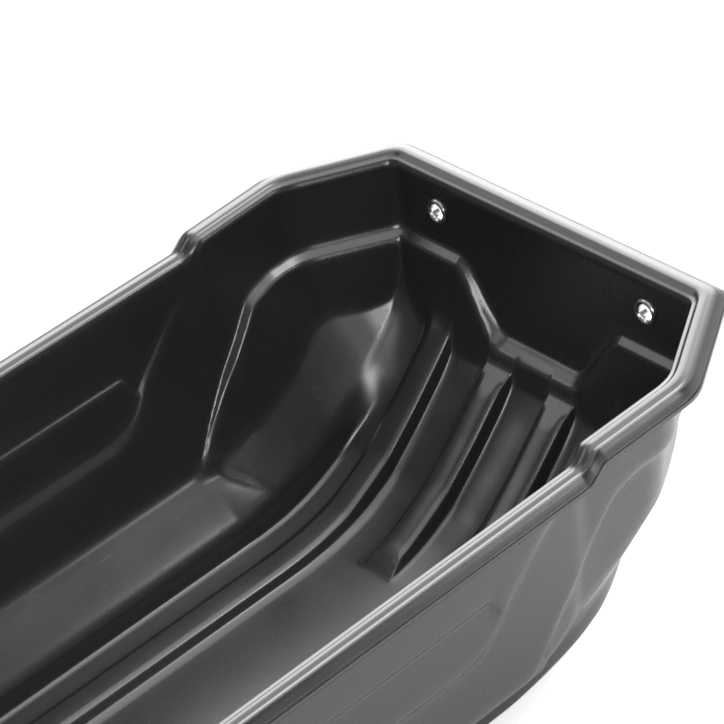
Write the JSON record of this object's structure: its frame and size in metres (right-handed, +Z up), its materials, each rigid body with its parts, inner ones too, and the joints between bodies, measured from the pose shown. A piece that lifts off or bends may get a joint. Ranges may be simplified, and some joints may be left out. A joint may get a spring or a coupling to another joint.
{
  "type": "ice fishing sled",
  "caption": "Moulded plastic tow sled: a deep open tub with a rolled rim, an upswept ribbed bow and metal rope eyelets.",
  "frame": {"origin": "on the ground under the middle of the bounding box", "axes": "+Z up, -Y towards the upswept bow, +X to the left side of someone who sits in the sled and looks at the bow"},
  "size_m": [0.5768, 1.3, 0.3112],
  "materials": {
    "tub_plastic": "semi-gloss, fine grain",
    "eyelet_metal": "bright plated steel"
  },
  "bodies": {
    "root": {"hull": "tub_plastic", "eyelet_left": "eyelet_metal", "eyelet_right": "eyelet_metal", "washer_left": "eyelet_metal", "washer_right": "eyelet_metal"}
  },
  "joints": []
}
